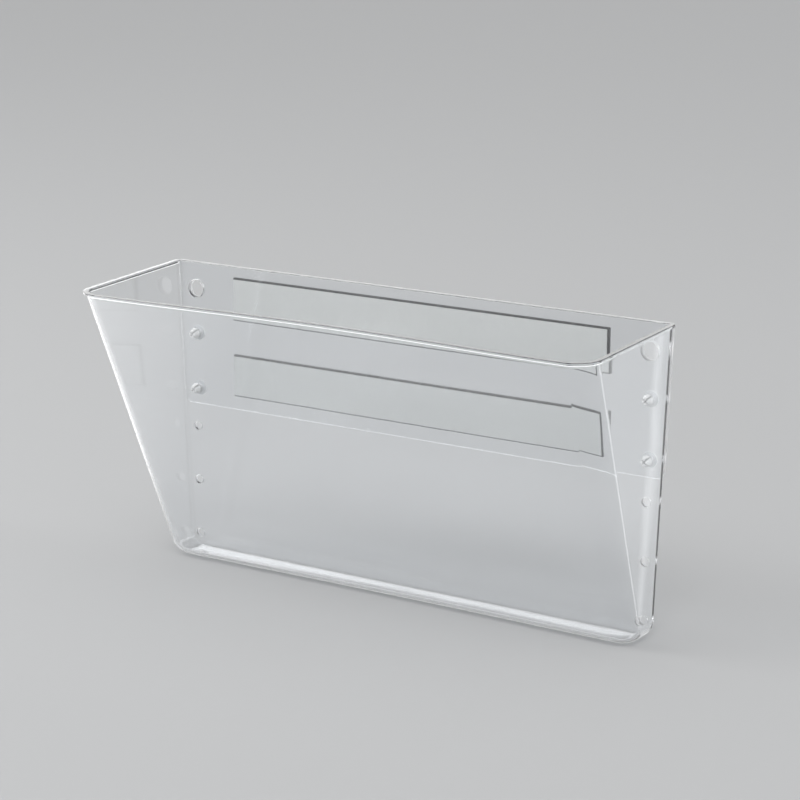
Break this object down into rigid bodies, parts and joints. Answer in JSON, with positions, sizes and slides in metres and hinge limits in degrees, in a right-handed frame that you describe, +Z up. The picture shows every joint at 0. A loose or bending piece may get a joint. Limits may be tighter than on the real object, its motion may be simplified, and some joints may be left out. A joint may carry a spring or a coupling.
{
  "type": "hanging document pocket",
  "caption": "Clear open-top document pocket with drafted sides, a slanted front and a small lip round its rim, riveted to a flat back plate whose magnet strips hang it on steel.",
  "frame": {"origin": "middle of the upper magnet strip's contact face, on the cabinet's surface", "axes": "+Z up, +X along the width to the right seen from the front, +Y into the cabinet, so the pocket reaches towards -Y"},
  "size_m": [0.3306, 0.1015, 0.176],
  "materials": {
    "shell_plastic": "clear, polished moulded polystyrene",
    "plate_plastic": "clear, polished sheet",
    "rivet_plastic": "clear moulded nylon",
    "magnet": "matt black rubber-bonded ferrite",
    "tape": "white double-sided foam tape"
  },
  "bodies": {
    "root": {"pocket_shell": "shell_plastic", "mounting_plate": "plate_plastic", "push_rivet_left_upper": "rivet_plastic", "push_rivet_left_lower": "rivet_plastic", "push_rivet_right_upper": "rivet_plastic", "push_rivet_right_lower": "rivet_plastic", "magnet_strip_upper": "magnet", "magnet_strip_lower": "magnet", "magnet_tape_upper": "tape", "magnet_tape_lower": "tape"}
  },
  "joints": []
}
